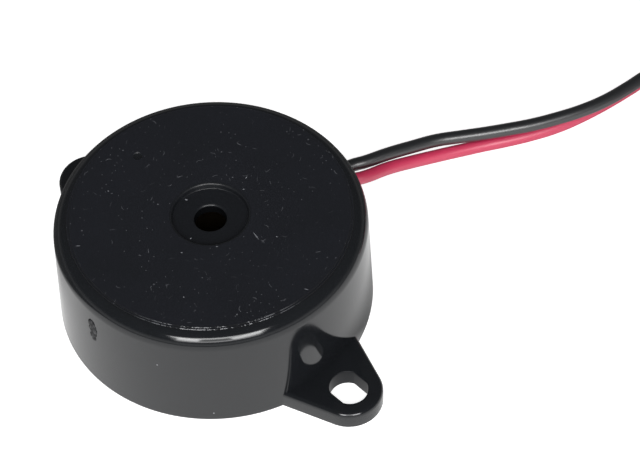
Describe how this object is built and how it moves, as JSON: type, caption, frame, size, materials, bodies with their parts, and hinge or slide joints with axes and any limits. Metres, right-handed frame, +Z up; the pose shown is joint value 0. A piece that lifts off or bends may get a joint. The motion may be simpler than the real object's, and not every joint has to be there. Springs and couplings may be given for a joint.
{
  "type": "piezo buzzer",
  "caption": "Round self-drive piezo buzzer with a sound port in its top, two slotted mounting ears on its base and two flying leads.",
  "frame": {"origin": "centre of the underside, on the body's own axis", "axes": "+Z up out of the sound port, +X through an ear's slot, +Y the way the leads leave the wall"},
  "size_m": [0.0553, 0.0775, 0.0118],
  "materials": {
    "black_abs": "smooth gloss on the wall and ears, fine matte texture on the top face",
    "cover_abs": "fine matte moulding",
    "spacer_abs": "plain moulding",
    "adhesive": "thin film of cured adhesive",
    "brass_sheet": "rolled sheet, satin",
    "piezo_ceramic": "fired ceramic under fired silver electrodes",
    "board_laminate": "glass-epoxy laminate with solder mask",
    "chip_epoxy": "moulded epoxy with tinned legs",
    "chip_glaze": "glazed chip with tinned end caps",
    "jumper_white": "smooth insulation",
    "jumper_red": "smooth insulation",
    "jumper_blue": "smooth insulation",
    "solder": "bright solder",
    "black_pvc": "smooth extruded insulation, soft gloss",
    "red_pvc": "smooth extruded insulation, soft gloss",
    "tinned_copper": "tinned strands"
  },
  "bodies": {
    "root": {"housing": "black_abs", "back_cover": "cover_abs", "spacer_ring": "spacer_abs", "adhesive_ring": "adhesive", "diaphragm_plate": "brass_sheet", "ceramic_disc": "piezo_ceramic", "circuit_board": "board_laminate", "transistor": "chip_epoxy", "base_resistor": "chip_glaze", "bias_resistor": "chip_glaze", "feedback_resistor": "chip_glaze", "plate_wire": "jumper_white", "main_wire": "jumper_red", "feedback_wire": "jumper_blue", "disc_solder": "solder", "board_solder": "solder", "black_lead": "black_pvc", "red_lead": "red_pvc", "black_lead_coil": "black_pvc", "red_lead_coil": "red_pvc", "black_lead_tail": "tinned_copper", "red_lead_tail": "tinned_copper", "black_lead_tip": "tinned_copper", "red_lead_tip": "tinned_copper"}
  },
  "joints": []
}
